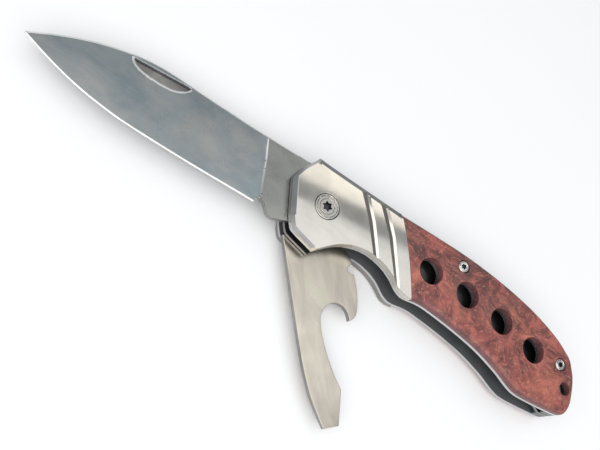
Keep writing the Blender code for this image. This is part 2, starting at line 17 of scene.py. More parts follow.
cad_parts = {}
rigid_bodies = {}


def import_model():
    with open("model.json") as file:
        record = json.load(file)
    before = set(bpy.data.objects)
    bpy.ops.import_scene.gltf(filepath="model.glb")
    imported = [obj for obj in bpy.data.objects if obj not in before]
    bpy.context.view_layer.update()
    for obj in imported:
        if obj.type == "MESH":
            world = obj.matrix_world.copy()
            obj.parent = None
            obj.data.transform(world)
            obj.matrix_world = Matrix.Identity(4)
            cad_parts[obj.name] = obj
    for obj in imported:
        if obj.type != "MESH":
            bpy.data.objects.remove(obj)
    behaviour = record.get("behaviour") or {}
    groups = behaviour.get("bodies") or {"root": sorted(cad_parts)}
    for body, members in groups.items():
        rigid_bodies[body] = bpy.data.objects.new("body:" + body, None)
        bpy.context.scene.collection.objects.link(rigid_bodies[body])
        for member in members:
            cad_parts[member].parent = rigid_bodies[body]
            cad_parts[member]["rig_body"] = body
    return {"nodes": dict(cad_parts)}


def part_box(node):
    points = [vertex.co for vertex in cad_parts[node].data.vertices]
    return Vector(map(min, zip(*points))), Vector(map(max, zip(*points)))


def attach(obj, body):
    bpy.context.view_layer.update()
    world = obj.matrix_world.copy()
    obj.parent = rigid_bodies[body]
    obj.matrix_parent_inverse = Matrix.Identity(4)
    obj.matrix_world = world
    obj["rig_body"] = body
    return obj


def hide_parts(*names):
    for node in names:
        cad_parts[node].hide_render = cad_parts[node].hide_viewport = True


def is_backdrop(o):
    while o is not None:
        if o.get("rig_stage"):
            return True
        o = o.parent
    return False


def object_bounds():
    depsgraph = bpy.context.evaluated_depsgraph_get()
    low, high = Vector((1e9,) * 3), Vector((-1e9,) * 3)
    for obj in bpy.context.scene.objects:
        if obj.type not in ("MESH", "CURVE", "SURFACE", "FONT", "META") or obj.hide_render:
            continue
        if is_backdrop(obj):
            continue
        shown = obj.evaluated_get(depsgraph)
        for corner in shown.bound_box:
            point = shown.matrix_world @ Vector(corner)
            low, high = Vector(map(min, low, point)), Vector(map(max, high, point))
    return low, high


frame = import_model()
cad_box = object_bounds()

MM = 0.001
CORNER = math.radians(33)  # a sharper turn than this in an outline is a corner, and the rest are curves
STRAIGHT = 0.004  # a smaller turn than this, in radians, is none
SAME_POINT = 1e-7  # points nearer than this, in metres, are one
ROW_SPACING = 0.866  # between a grid's rows, as a share of the spacing along them, for even triangles
GRID_MARGIN = 0.4  # how far a grid stays from the innermost ring, as a share of its spacing
EXTRA_MARGIN = 0.1 * MM
POINTS_PER_MM = 20  # round a circle, for each millimetre of its radius


# ---------------------------------------------------------------- outlines from the CAD nodes


def section(node, z):
    """Closed outlines where the plane at z cuts a CAD node, the longest first."""
    mesh = frame["nodes"][node].data
    mesh.calc_loop_triangles()
    co = [v.co for v in mesh.vertices]
    after = {}
    for triangle in mesh.loop_triangles:
        ends = []
        for a, b in ((0, 1), (1, 2), (2, 0)):
            low, high = sorted((tuple(co[triangle.vertices[a]]), tuple(co[triangle.vertices[b]])))
            if (low[2] < z) != (high[2] < z):
                share = (z - low[2]) / (high[2] - low[2])
                ends.append(tuple(round(low[k] + (high[k] - low[k]) * share, 8) for k in (0, 1)))
        if len(ends) == 2 and ends[0] != ends[1]:
            after.setdefault(ends[0], []).append(ends[1])
            after.setdefault(ends[1], []).append(ends[0])
    loops = []
    while after:
        start = next(iter(after))
        loop = [start]
        while after.get(loop[-1]):
            here = loop[-1]
            there = after[here].pop()
            after[there].remove(here)
            if not after[here]:
                del after[here]
            if there in after and not after[there]:
                del after[there]
            loop.append(there)
        after.pop(start, None)
        loops.append(straightened([np.array(p) for p in loop[:-1]]))
    return sorted(loops, key=length_of, reverse=True)


def length_of(loop):
    """How far it is round a loop."""
    return np.linalg.norm(np.roll(loop, -1, axis=0) - loop, axis=1).sum()


def straightened(loop):
    """The loop, anticlockwise, without points on the straight line between their neighbours."""
    loop = np.array([p for p, q in zip(loop, loop[-1:] + loop[:-1]) if np.linalg.norm(p - q) > SAME_POINT])
    for _ in range(2):
        loop = loop[np.abs(turns(loop)) > STRAIGHT]
    area = np.sum(loop[:, 0] * np.roll(loop[:, 1], -1) - np.roll(loop[:, 0], -1) * loop[:, 1])
    return loop if area > 0 else loop[::-1]


def turns(loop):
    """The angle by which the loop turns at each of its points."""
    into = loop - np.roll(loop, 1, axis=0)
    out = np.roll(loop, -1, axis=0) - loop
    cross = into[:, 0] * out[:, 1] - into[:, 1] * out[:, 0]
    return np.arctan2(cross, (into * out).sum(1))


def rounded(loop, step=0.25 * MM):
    """A finer loop: a curve through the points between corners, and corners kept."""
    corner = np.abs(turns(loop)) > CORNER
    count = len(loop)
    fine = []
    for i in range(count):
        a, b = loop[i], loop[(i + 1) % count]
        before = 2 * a - b if corner[i] else loop[i - 1]
        beyond = 2 * b - a if corner[(i + 1) % count] else loop[(i + 2) % count]
        span = np.linalg.norm(b - a)
        # Tangents are scaled to this span, so that short and long spans meet smoothly.
        start = (b - before) / max(np.linalg.norm(b - before), 1e-9) * span
        end = (beyond - a) / max(np.linalg.norm(beyond - a), 1e-9) * span
        steps = max(1, round(span / step))
        for k in range(steps):
            t = k / steps
            fine.append(
                (2 * t**3 - 3 * t**2 + 1) * a
                + (t**3 - 2 * t**2 + t) * start
                + (3 * t**2 - 2 * t**3) * b
                + (t**3 - t**2) * end
            )
    return np.array(fine)


def circle(centre, radius, count=None):
    """The points of a circle, more of them on a larger one unless their count is given."""
    count = count or max(24, round(radius / MM * POINTS_PER_MM))
    angles = np.arange(count) * 2 * math.pi / count
    return np.stack([centre[0] + radius * np.cos(angles), centre[1] + radius * np.sin(angles)], 1)


def as_circle(loop):
    """(centre, radius) of a round loop."""
    centre = (loop.max(0) + loop.min(0)) / 2
    return centre, np.linalg.norm(loop - centre, axis=1).max()


def inwards(loop):
    """At each point of an anticlockwise loop, the direction square to it, towards its inside."""
    along = np.roll(loop, -1, axis=0) - np.roll(loop, 1, axis=0)
    return np.stack([-along[:, 1], along[:, 0]], 1) / np.linalg.norm(along, axis=1)[:, None]


# ---------------------------------------------------------------- plates with relief on their faces


def distances(points, starts, ends):
    """The distance from each point to each segment."""
    along = ends - starts
    share = np.einsum("nsk,sk->ns", points[:, None] - starts, along) / np.maximum((along**2).sum(1), 1e-16)
    nearest = starts + np.clip(share, 0, 1)[..., None] * along
    return np.linalg.norm(points[:, None] - nearest, axis=2)


def inside(points, loop):
    """Whether each point lies within the loop."""
    after = np.roll(loop, -1, axis=0)
    x, y = points[:, None, 0], points[:, None, 1]
    spans = (loop[:, 1] > y) != (after[:, 1] > y)
    rise = np.where(after[:, 1] == loop[:, 1], 1, after[:, 1] - loop[:, 1])
    at = (after[:, 0] - loop[:, 0]) * (y - loop[:, 1]) / rise + loop[:, 0]
    return (spans & (x < at)).sum(1) % 2 == 1


def eased(gap, radius):
    """How far a rounded rim lies under the face at this distance from it."""
    over = np.clip(radius - gap, 0, radius)
    return radius - np.sqrt(np.maximum(radius**2 - over**2, 0))


# Which of a plate's faces a look is for, as (upper, lower).
BOTH_FACES = (True, True)
UPPER_FACE = (True, False)


class Plate:
    """A flat domain with holes, filled with points, whose two faces then get their heights.

    rings are millimetres from the rim, where points follow it. lines are kept as edges, and extra are points.
    """

    def __init__(self, outline, holes, spacing, rings, lines=(), extra=()):
        self.loops = [outline, *holes]
        self.starts = np.concatenate(self.loops)
        self.ends = np.concatenate([np.roll(loop, -1, axis=0) for loop in self.loops])
        self.middles = (self.starts + self.ends) / 2
        self.outer = np.repeat(np.arange(len(self.loops)), [len(loop) for loop in self.loops]) == 0
        points = [tuple(p) for p in self.starts]
        edges = []
        for loop in self.loops:
            first = len(edges)
            edges += [(first + k, first + (k + 1) % len(loop)) for k in range(len(loop))]
        for line in lines:
            first = len(points)
            points += [tuple(p) for p in line]
            edges += [(first + k, first + k + 1) for k in range(len(line) - 1)]
        free = [self.ring_points([ring * MM for ring in rings])]
        low, high = outline.min(0), outline.max(0)
        rows = np.arange(low[1], high[1], spacing * ROW_SPACING)
        columns = np.arange(low[0], high[0], spacing)
        grid = [(x + spacing / 2 * (i % 2), y) for i, y in enumerate(rows) for x in columns]
        free.append(self.within(np.array(grid), rings[-1] * MM + spacing * GRID_MARGIN))
        if len(extra):
            free.append(self.within(extra, EXTRA_MARGIN))
        points += [tuple(p) for p in np.concatenate(free)]
        scale = 1 / MM
        coordinates = [Vector(p) * scale for p in points]
        # Output type 1 leaves out what lies outside the outline, and points nearer than 1e-5 mm are one.
        found = delaunay_2d_cdt(coordinates, edges, [], 1, 1e-5, False)
        self.points = np.array([tuple(v) for v in found[0]]) / scale
        faces = np.array(found[2])
        middles = self.points[faces].mean(1)
        keep = inside(middles, outline)
        for hole in holes:
            keep &= ~inside(middles, hole)
        self.faces = faces[keep]
        self.gap = self.gaps(self.points)

    def gaps(self, points, chosen=slice(None)):
        """The distance to the rim, or to the chosen ones of its segments."""
        parts = np.array_split(points, max(1, len(points) // 2000))
        starts, ends = self.starts[chosen], self.ends[chosen]
        return np.concatenate([distances(p, starts, ends).min(1) for p in parts])

    def within(self, points, margin):
        """Those of the points that lie on the plate, further than the margin from its rim."""
        points = points[inside(points, self.loops[0])]
        for hole in self.loops[1:]:
            points = points[~inside(points, hole)]
        return points[self.gaps(points) > margin] if len(points) else points

    def ring_points(self, widths):
        """Points on lines parallel to the rim, which carry its rounding."""
        made = []
        for width in widths:
            for index, loop in enumerate(self.loops):
                made.append(loop + inwards(loop) * width * (1 if index == 0 else -1))
        made = np.concatenate(made)
        sizes = np.repeat(widths, sum(len(loop) for loop in self.loops))
        return made[np.abs(self.gaps(made) - sizes) < 0.02 * MM]

    def built(self, name, low, high, look, node, sharp=32, sides=None, marked=()):
        """The piece, its lower and upper faces at the given heights, in place of its CAD node.

        sharp is the angle in degrees from which an edge isn't smoothed. The walls can have a look of their
        own, and so can parts of the faces: marked holds looks, each with a mask over the points and the faces
        that it is for. A triangle takes the look when all its corners are in the mask.
        """
        count = len(self.points)
        low = np.broadcast_to(low, count)
        high = np.broadcast_to(high, count)
        verts = np.concatenate([np.column_stack([self.points, high]), np.column_stack([self.points, low])])
        faces = [tuple(int(i) for i in f) for f in self.faces]
        edges = [(face[k], face[(k + 1) % 3]) for face in faces for k in range(3)]
        known = set(edges)
        rim = [(a, b) for a, b in edges if (b, a) not in known]
        under = [(c + count, b + count, a + count) for a, b, c in faces]
        walls = [(b, a, a + count, b + count) for a, b in rim]
        data = bpy.data.meshes.new(name)
        data.from_pydata(verts.tolist(), [], faces + under + walls)
        data.shade_smooth()
        data.set_sharp_from_angle(angle=math.radians(sharp))
        looks = [look]
        chosen = np.zeros(len(data.polygons), int)
        if sides:
            looks.append(sides)
            chosen[2 * len(faces) :] = 1
        for other, mask, sides_marked in marked:
            within = mask[self.faces].all(1)
            if other not in looks:
                looks.append(other)
            on_faces = np.concatenate([within & side for side in sides_marked])
            chosen[: 2 * len(faces)][on_faces] = looks.index(other)
        for each in looks:
            data.materials.append(each)
        data.polygons.foreach_set("material_index", chosen)
        piece = bpy.data.objects.new(name, data)
        bpy.context.scene.collection.objects.link(piece)
        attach(piece, frame["nodes"][node]["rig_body"])
        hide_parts(node)
        return piece


# ---------------------------------------------------------------- materials


class Look:
    """A Principled material whose node tree is built up by calls that return sockets."""

    def __init__(self, name):
        self.material = bpy.data.materials.new(name)
        self.material.use_nodes = True
        self.tree = self.material.node_tree
        self.shader = self.tree.nodes["Principled BSDF"]
        self.place = self.node("ShaderNodeTexCoord").outputs["Object"]

    def feed(self, socket, value):
        """Links the value to the socket if it is one itself, and otherwise sets it there."""
        if isinstance(value, bpy.types.NodeSocket):
            self.tree.links.new(value, socket)
        else:
            socket.default_value = value

    def node(self, kind, inputs=None, **settings):
        made = self.tree.nodes.new(kind)
        for name, value in settings.items():
            setattr(made, name, value)
        for name, value in (inputs or {}).items():
            self.feed(made.inputs[name], value)
        return made

    def stretched(self, scale, turn=0.0):
        """Object coordinates scaled per axis, turned about Z first."""
        turned = self.node("ShaderNodeMapping", {"Vector": self.place, "Rotation": (0, 0, turn)})
        return self.node("ShaderNodeMapping", {"Vector": turned.outputs[0], "Scale": scale}).outputs[0]

    def noise(self, where, scale, detail=4.0, roughness=0.5, distortion=0.0):
        inputs = {"Vector": where, "Scale": scale, "Detail": detail}
        inputs |= {"Roughness": roughness, "Distortion": distortion}
        return self.node("ShaderNodeTexNoise", inputs).outputs["Fac"]

    def spread(self, value, low, high, to_low, to_high):
        """The value, with low..high moved to to_low..to_high and nothing outside."""
        inputs = {0: value, 1: low, 2: high, 3: to_low, 4: to_high}
        return self.node("ShaderNodeMapRange", inputs).outputs[0]

    def ramp(self, value, stops):
        made = self.node("ShaderNodeValToRGB", {"Fac": value})
        elements = made.color_ramp.elements
        while len(elements) < len(stops):
            elements.new(1.0)
        for element, (position, colour) in zip(elements, stops):
            element.position = position
            element.color = (*colour, 1)
        return made.outputs["Color"]

    def mix(self, share, first, second):
        """The first colour where share is 0, and the second where it is 1. Each is a socket or a tuple."""
        first, second = ((*c, 1) if isinstance(c, tuple) else c for c in (first, second))
        return self.node("ShaderNodeMix", {0: share, 6: first, 7: second}, data_type="RGBA").outputs[2]

    def bump(self, height, distance, strength=1.0, under=None):
        inputs = {"Height": height, "Distance": distance, "Strength": strength}
        if under is not None:
            inputs["Normal"] = under
        return self.node("ShaderNodeBump", inputs).outputs["Normal"]

    def set(self, **inputs):
        for name, value in inputs.items():
            self.feed(self.shader.inputs[name.replace("_", " ")], value)
        return self.material


BRUSH_DRAWN = 14  # how many times longer than wide the grinding marks are


def steel(name, dark, light, rough, brush, depth, waves=0.0, turn=0.0, drawn=1.6, metal=1.0):
    """Steel from dark to light in clouds, with grinding marks along X, soft waves and smudges.

    brush is how fine the marks are, and depth and waves how deep the marks and the waves are. The marks are
    turned by turn, and the clouds are drawn times longer along them. rough is the lowest and the highest
    roughness.
    """
    look = Look(name)
    clouds = look.noise(look.stretched((1, drawn, 1), turn), 70.0, 5.0, 0.55, 0.6)
    lines = look.noise(look.stretched((brush / BRUSH_DRAWN, brush, brush), turn), 100.0, 3.0, 0.6)
    shade = look.ramp(clouds, [(0.35, dark), (0.65, light)])
    shade = look.mix(look.spread(lines, 0.3, 0.7, 0.0, 0.25), shade, light)
    smudge = look.noise(look.place, 160.0, 3.0, 0.5, 0.4)
    swell = look.noise(look.stretched((0.7, 1, 1), turn), 55.0, 1.0, 0.4)
    normal = look.bump(lines, depth, 1.0, look.bump(swell, waves))
    return look.set(
        Base_Color=shade,
        Metallic=metal,
        Roughness=look.spread(smudge, 0.3, 0.7, *rough),
        Normal=normal,
    )


BEND = 11 * MM  # the burl's figure is bent out of place by up to this along each axis
FIGURE_TURN = 0.35  # radians from X to the run of the dark figure


def burl(name):
    """Red stained burl: blotches from brown to salmon, dark wavy figure towards the spine, painted shade on
    its rounded rim.
    """
    look = Look(name)
    shift = look.node("ShaderNodeTexNoise", {"Vector": look.place, "Scale": 90.0, "Detail": 2.0})
    shift = {0: shift.outputs["Color"], 1: (BEND, BEND, BEND)}
    shift = look.node("ShaderNodeVectorMath", shift, operation="MULTIPLY").outputs[0]
    bent = look.node("ShaderNodeVectorMath", {0: look.place, 1: shift}, operation="ADD").outputs[0]
    blotches = look.noise(bent, 270.0, 7.0, 0.62, 0.5)
    colour = look.ramp(
        blotches,
        [
            (0.35, (0.095, 0.027, 0.024)),
            (0.44, (0.195, 0.053, 0.045)),
            (0.51, (0.275, 0.072, 0.058)),
            (0.59, (0.372, 0.103, 0.078)),
            (0.69, (0.490, 0.170, 0.125)),
        ],
    )
    ember = look.noise(bent, 95.0, 4.0, 0.6, 0.4)
    colour = look.mix(look.spread(ember, 0.54, 0.66, 0.0, 0.55), colour, (0.52, 0.160, 0.092))
    ash = look.noise(look.place, 75.0, 5.0, 0.65, 0.8)
    colour = look.mix(look.spread(ash, 0.5, 0.62, 0.0, 0.6), colour, (0.150, 0.066, 0.054))
    along = {"Vector": bent, "Rotation": (0, 0, FIGURE_TURN), "Scale": (1, 4.5, 2)}
    along = look.node("ShaderNodeMapping", along).outputs[0]
    figure = look.noise(along, 120.0, 4.0, 0.6, 1.1)
    height = look.node("ShaderNodeSeparateXYZ", {"Vector": look.place}).outputs["Y"]
    towards_spine = look.spread(height, -6 * MM, 6 * MM, 0.15, 1.0)
    share = {0: look.spread(figure, 0.48, 0.60, 0.0, 0.75), 1: towards_spine}
    share = look.node("ShaderNodeMath", share, operation="MULTIPLY").outputs[0]
    colour = look.mix(share, colour, (0.085, 0.034, 0.028))
    flecks = look.noise(bent, 1300.0, 3.0, 0.6)
    colour = look.mix(look.spread(flecks, 0.55, 0.68, 0.0, 0.5), colour, (0.60, 0.27, 0.19))
    pores = look.noise(along, 900.0, 3.0, 0.6)
    colour = look.mix(look.spread(pores, 0.56, 0.7, 0.0, 0.45), colour, (0.09, 0.035, 0.03))
    # Painted shade: the wood darkens where its face turns away from up, over its rounded rim.
    facing = look.node("ShaderNodeNewGeometry").outputs["Normal"]
    facing = look.node("ShaderNodeSeparateXYZ", {"Vector": facing}).outputs["Z"]
    facing = look.node("ShaderNodeMath", {0: facing}, operation="ABSOLUTE").outputs[0]
    colour = look.mix(look.spread(facing, 0.55, 0.97, 0.65, 0.0), colour, (0.125, 0.062, 0.066))
    return look.set(
        Base_Color=colour,
        Roughness=look.spread(blotches, 0.3, 0.7, 0.42, 0.55),
        Normal=look.bump(pores, 0.02 * MM, 0.6),
        Coat_Weight=0.06,
        Coat_Roughness=0.25,
    )


TOOL_TURN = math.radians(55)  # turns the open tool's length onto X
WAVY = 0.1 * MM  # how deep a polished face's soft waves are
GROUND = 0.002 * MM  # how deep the grinding marks are, from coarse to fine
TURNED = 0.0004 * MM
POLISHED = 0.0003 * MM

# Each steel: its name, its dark and its light colour, its roughness, and how fine and how deep its marks are.
bolster_look = steel(
    "polished_bolster", (0.57, 0.535, 0.475), (0.64, 0.605, 0.54), (0.08, 0.14), 9, POLISHED, WAVY
)
nose_look = steel("ground_nose", (0.40, 0.40, 0.40), (0.54, 0.535, 0.53), (0.45, 0.6), 14, GROUND)
# Painted shade: a darker copy of the steel for the pieces' walls and for the band along the bolsters' spine.
side_shade_look = steel("ground_side", (0.20, 0.20, 0.20), (0.32, 0.315, 0.31), (0.28, 0.38), 14, GROUND)
liner_look = steel("ground_liner", (0.52, 0.51, 0.51), (0.64, 0.63, 0.63), (0.24, 0.36), 14, GROUND)
# Painted shade: near-black steel for the centre liner, the screws' recesses and turned rings, and the nick's
# line.
shade_look = steel("dark_inside", (0.05, 0.046, 0.05), (0.10, 0.095, 0.10), (0.35, 0.5), 14, GROUND)
blade_look = steel("satin_blade", (0.235, 0.285, 0.30), (0.375, 0.38, 0.37), (0.24, 0.32), 12, 0, WAVY)
# Painted highlight: steel lighter than real steel, for the bright lines on the blade's edge, spine, plunge
# and nick and beyond the bolster's nose.
highlight_look = steel("honed_edge", (0.66, 0.655, 0.63), (0.82, 0.81, 0.78), (0.45, 0.6), 12, TURNED)
# The nick's cut face, with painted shade darkening its hollow.
nick_shade_look = steel("cut_nick", (0.20, 0.19, 0.175), (0.56, 0.53, 0.49), (0.3, 0.4), 30, TURNED)
tang_look = steel("satin_tang", (0.30, 0.305, 0.285), (0.40, 0.395, 0.36), (0.24, 0.32), 12, 0, WAVY)
tool_look = steel(
    "satin_tool", (0.43, 0.375, 0.325), (0.55, 0.51, 0.42), (0.26, 0.36), 12, 0, WAVY, TOOL_TURN, drawn=4
)
spring_look = steel(
    "spring_steel", (0.20, 0.21, 0.21), (0.27, 0.28, 0.28), (0.5, 0.65), 14, GROUND, metal=0.5
)
# Painted shade: a near-black sheet for the liners' faces, which show only in the shaded slot.
slot_shade_look = steel(
    "blasted_sheet", (0.09, 0.095, 0.095), (0.13, 0.135, 0.135), (0.5, 0.65), 14, GROUND, metal=0.4
)
screw_look = steel("turned_screw", (0.46, 0.43, 0.39), (0.60, 0.57, 0.52), (0.2, 0.3), 20, TURNED)
pale_look = steel("plated_screw", (0.74, 0.71, 0.66), (0.90, 0.87, 0.81), (0.25, 0.35), 20, TURNED)
# Painted shade: the grooves' walls nearer the nose, darker than the polished face.
groove_shade_look = steel("brushed_groove", (0.30, 0.27, 0.235), (0.40, 0.36, 0.31), (0.25, 0.35), 9, POLISHED)
bronze_look = steel("rolled_bronze", (0.42, 0.27, 0.13), (0.52, 0.34, 0.17), (0.3, 0.42), 16, GROUND)
wood_look = burl("red_burl")


# ---------------------------------------------------------------- sizes that the pieces share


def level(node, top):
    """The height of a CAD node's lower or upper face."""
    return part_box(node)[1 if top else 0].z


def between(node, share=0.5):
    """A height between a CAD node's lower and upper faces."""
    low, high = level(node, False), level(node, True)
    return low + (high - low) * share


FRONT = level("front_bolster", True)
REAR = level("rear_bolster", False)
CLOSE = 0.01 * MM  # what is left of the gap between pieces that are screwed together
MARGIN = 0.01 * MM  # keeps points on a line clear of a comparison with it
RIM_RINGS = (0.04, 0.1, 0.2, 0.4, 0.6, 0.8, 0.95, 1.3, 1.6)  # millimetres from the rim
STEEP = 0.03 * MM  # how far a recess's steep wall leans inwards
WASHER_SEAT_R = 4.4 * MM
WASHER_SEAT = 0.2 * MM


def line_of(points, step):
    """A polyline given in millimetres, with points at every step along it."""
    points = np.array(points) * MM
    along = np.concatenate([[0], np.cumsum(np.linalg.norm(np.diff(points, axis=0), axis=1))])
    places = np.linspace(0, along[-1], max(2, round(along[-1] / step)))
    return np.stack([np.interp(places, along, points[:, k]) for k in (0, 1)], 1)


def x_on(line, heights):
    """The X of a line, given as points in millimetres, at each height Y."""
    line = np.array(sorted(line, key=lambda p: p[1])) * MM
    return np.interp(heights, line[:, 1], line[:, 0])


def gap_to(points, line):
    """The distance from each point to an open line."""
    return distances(points, line[:-1], line[1:]).min(1)


def closed(loop):
    """The loop as a line that ends where it starts."""
    return np.concatenate([loop, loop[:1]])


def ring_lines(centre, radius, count=96):
    """Two closed lines with a steep wall between them, round a recess of this radius."""
    return [closed(circle(centre, rim, count)) for rim in (radius - STEEP, radius)]


def seat_drop(points):
    """The depth of the washer's seat round the pivot, in each face of a tang."""
    return WASHER_SEAT * (np.linalg.norm(points, axis=1) < WASHER_SEAT_R - 2 * MARGIN)


# ---------------------------------------------------------------- bolsters

LOW_AT = 0.66  # where across its width a groove is deepest
NEAR_LIP = 0.01  # a share of that width
GROOVE_DEPTH = 0.38 * MM
GROOVE_SLANT = 0.83  # a groove's width square to its line, as a share of its width along X
# Each groove: its centre line in millimetres, and its width at the spine and at the foot.
GROOVES = [
    ([(7.2, 12.2), (8.4, 10.3), (13.1, 4.3), (18.6, -4.2), (20.4, -7.2)], 2.5, 1.6),
    ([(13.6, 12.4), (14.9, 10.5), (20.4, 3.75), (26.5, -6.0), (28.6, -9.4)], 2.6, 1.3),
]
CROWN = 0.2 * MM  # how sharply the faces fall to both sides of their ridge, and over what span they turn
CROWN_SPAN = 5 * MM
RIDGE_AT = 1.6 * MM  # the ridge's Y at the pivot, and how much it rises for each length towards the butt
RIDGE_RISE = 0.23
HEAD_CLEARANCE = 0.12 * MM  # round the pivot screw's head

# The bevels' widths, and how far they fall at the rim. The chin's falls as far as the nose's.
NOSE_BEVEL = 0.8 * MM
CHIN_BEVEL = 0.4 * MM
NOSE_FALL = 1.7 * MM
SPINE_BEVEL = 1.6 * MM
SPINE_FALL = 0.8 * MM
SPINE_DARK = 0.25 * MM  # how much narrower than its bevel the band of painted shade along the spine is
LIP_AT = 0.07 * MM  # how far beyond the nose's bevel its painted highlight has its middle, and half the highlight's width
LIP_HALF = 0.09 * MM
BOLSTER_EASE = 0.08 * MM
BOLSTER_SHARP = 9  # degrees, so that the shallow grooves keep sharp lips

# Where along the rim the bevels lie: the nose's before NOSE_END, and the chin's from there to CHIN_END.
NOSE_END = -7.6 * MM
NOSE_TOP = 11.6 * MM
CHIN_END = 1.5 * MM
SPINE_OVER = 9 * MM

SEAM_GAP = 0.21 * MM  # bolster and wood are no further apart than this along their seam
SEAM_REACH = 0.3 * MM

bolster_outline = rounded(section("front_bolster", between("front_bolster", 0.2))[0])
wood_outline = rounded(section("front_scale", between("front_scale", 0.1))[0])
wood_gap = distances(bolster_outline, wood_outline, np.roll(wood_outline, -1, axis=0)).min(1)
seam = bolster_outline[wood_gap < SEAM_GAP]
seam = seam[np.argsort(seam[:, 1])]


def near_seam(points):
    return gap_to(points, seam) < SEAM_REACH


def groove_width(heights, line, spine_width, foot_width):
    """A groove's width along X at each height Y."""
    foot, top = line[-1][1] * MM, line[0][1] * MM
    across = foot_width + (spine_width - foot_width) * (heights - foot) / (top - foot)
    return across * MM / GROOVE_SLANT


def across_grooves(points):
    """For each groove, how far across its width each point lies, from 0 at the nose side to 1."""
    for line, *widths in GROOVES:
        yield (points[:, 0] - x_on(line, points[:, 1])) / groove_width(points[:, 1], line, *widths) + 0.5


def groove_cut(points):
    """How deep the V-shaped grooves are at each point."""
    walls = (np.where(a < LOW_AT, a / LOW_AT, (1 - a) / (1 - LOW_AT)) for a in across_grooves(points))
    return GROOVE_DEPTH * sum(np.clip(wall, 0, 1) for wall in walls)


def groove_wall(points):
    """The points on the walls nearer the nose, which are painted with shade."""
    return sum((a > -NEAR_LIP) & (a < LOW_AT + NEAR_LIP) for a in across_grooves(points)) > 0


def groove_lines():
    """Each groove's two lips and its bottom, as far as they lie on the bolster."""
    heights = np.arange(-9 * MM, 12.6 * MM, 0.35 * MM)  # each Y at which the lines have a point
    for line, *widths in GROOVES:
        for across in (0, LOW_AT, 1):
            places = x_on(line, heights) + groove_width(heights, line, *widths) * (across - 0.5)
            made = np.stack([places, heights], 1)
            yield made[inside(made, bolster_outline)]


def crown(points):
    """How far the face lies under its ridge, which runs along the handle."""
    across = (points[:, 1] - RIDGE_AT - RIDGE_RISE * points[:, 0]) / CROWN_SPAN
    return CROWN * (np.sqrt(1 + across**2) - 1)


head_seat = circle((0, 0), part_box("pivot_screw")[1].x + HEAD_CLEARANCE, 96)
bolster = Plate(bolster_outline, [head_seat], 0.45 * MM, RIM_RINGS, groove_lines())
rim = bolster.middles
past_nose = rim[:, 0] >= NOSE_END
nose = bolster.outer & ~past_nose & (rim[:, 1] < NOSE_TOP)
chin = bolster.outer & past_nose & (rim[:, 0] < CHIN_END) & (rim[:, 1] < 0)
spine = bolster.outer & past_nose & (rim[:, 1] > SPINE_OVER) & ~near_seam(rim)
nose_gap, chin_gap, spine_rim_gap = (bolster.gaps(bolster.points, part) for part in (nose, chin, spine))
bolster_relief = eased(bolster.gap, BOLSTER_EASE)
for rim_gap, width, fall in (
    (nose_gap, NOSE_BEVEL, NOSE_FALL),
    (chin_gap, CHIN_BEVEL, NOSE_FALL),
    (spine_rim_gap, SPINE_BEVEL, SPINE_FALL),
):
    bolster_relief = np.maximum(bolster_relief, fall * np.clip(1 - rim_gap / width, 0, 1))
bolster_relief = np.maximum(bolster_relief, groove_cut(bolster.points)) + crown(bolster.points)
bevelled = (nose_gap < NOSE_BEVEL + MARGIN) | (chin_gap < CHIN_BEVEL + MARGIN)
# A thin painted highlight on the face just beyond the nose's bevel.
nose_highlight = (np.abs(nose_gap - NOSE_BEVEL - LIP_AT) < LIP_HALF) & (chin_gap > CHIN_BEVEL)


def bolster_shell(node, low, high, bevel_look, sides=None):
    """A bolster with its bevels in a look of their own, painted shade along its spine and on its grooves'
    near walls, and a painted highlight just beyond its nose's bevel.
    """
    marked = [
        # Painted shade along the spine and on the grooves' near walls, and a painted highlight at the nose.
        (side_shade_look, spine_rim_gap < SPINE_BEVEL - SPINE_DARK, BOTH_FACES),
        (groove_shade_look, groove_wall(bolster.points), BOTH_FACES),
        (bevel_look, bevelled, BOTH_FACES),
        (highlight_look, nose_highlight, BOTH_FACES),
    ]
    bolster.built(node + "_shell", low, high, bolster_look, node, BOLSTER_SHARP, sides, marked)


front_inner = level("front_liner", True) + CLOSE
rear_inner = level("rear_liner", False) - CLOSE
bolster_shell("front_bolster", front_inner, FRONT - bolster_relief, nose_look)
# The rear bolster's bevels and walls take painted shade.
bolster_shell("rear_bolster", REAR + bolster_relief, rear_inner, side_shade_look, side_shade_look)

# ---------------------------------------------------------------- wood scales

COUNTERBORE_R = 1.95 * MM
SCREW_HOLE_R = 1.2 * MM  # a hole narrower than this is a screw's, and shows its counterbore
SEAM_CLOSED = 0.19 * MM  # how far the wood moves towards the bolster, so that no gap shows
WOOD_ROUND = 1.4 * MM
WOOD_EASE = 0.1 * MM  # at the holes and along the seam
WOOD_CROWN = 0.12 * MM  # how far the face falls towards its rim, and over what width
WOOD_CROWN_SPAN = 8 * MM
SEAM_BLEND = 20 * MM  # how far from the seam the wood still follows the bolster's crown
REAR_INSET = 0.4 * MM
REAR_BEVEL = 1.9 * MM  # the rear scale falls away to a thin edge under its liner
REAR_BEVEL_DEPTH = 2.05 * MM
WOOD_RINGS = (*RIM_RINGS, 1.9)  # the last one where the rear bevel starts

wood_holes = [as_circle(loop) for loop in section("front_scale", between("front_scale", 0.1))[1:]]
wood_holes = [(centre, COUNTERBORE_R if radius < SCREW_HOLE_R else radius) for centre, radius in wood_holes]
wood_outline[near_seam(wood_outline), 0] -= SEAM_CLOSED


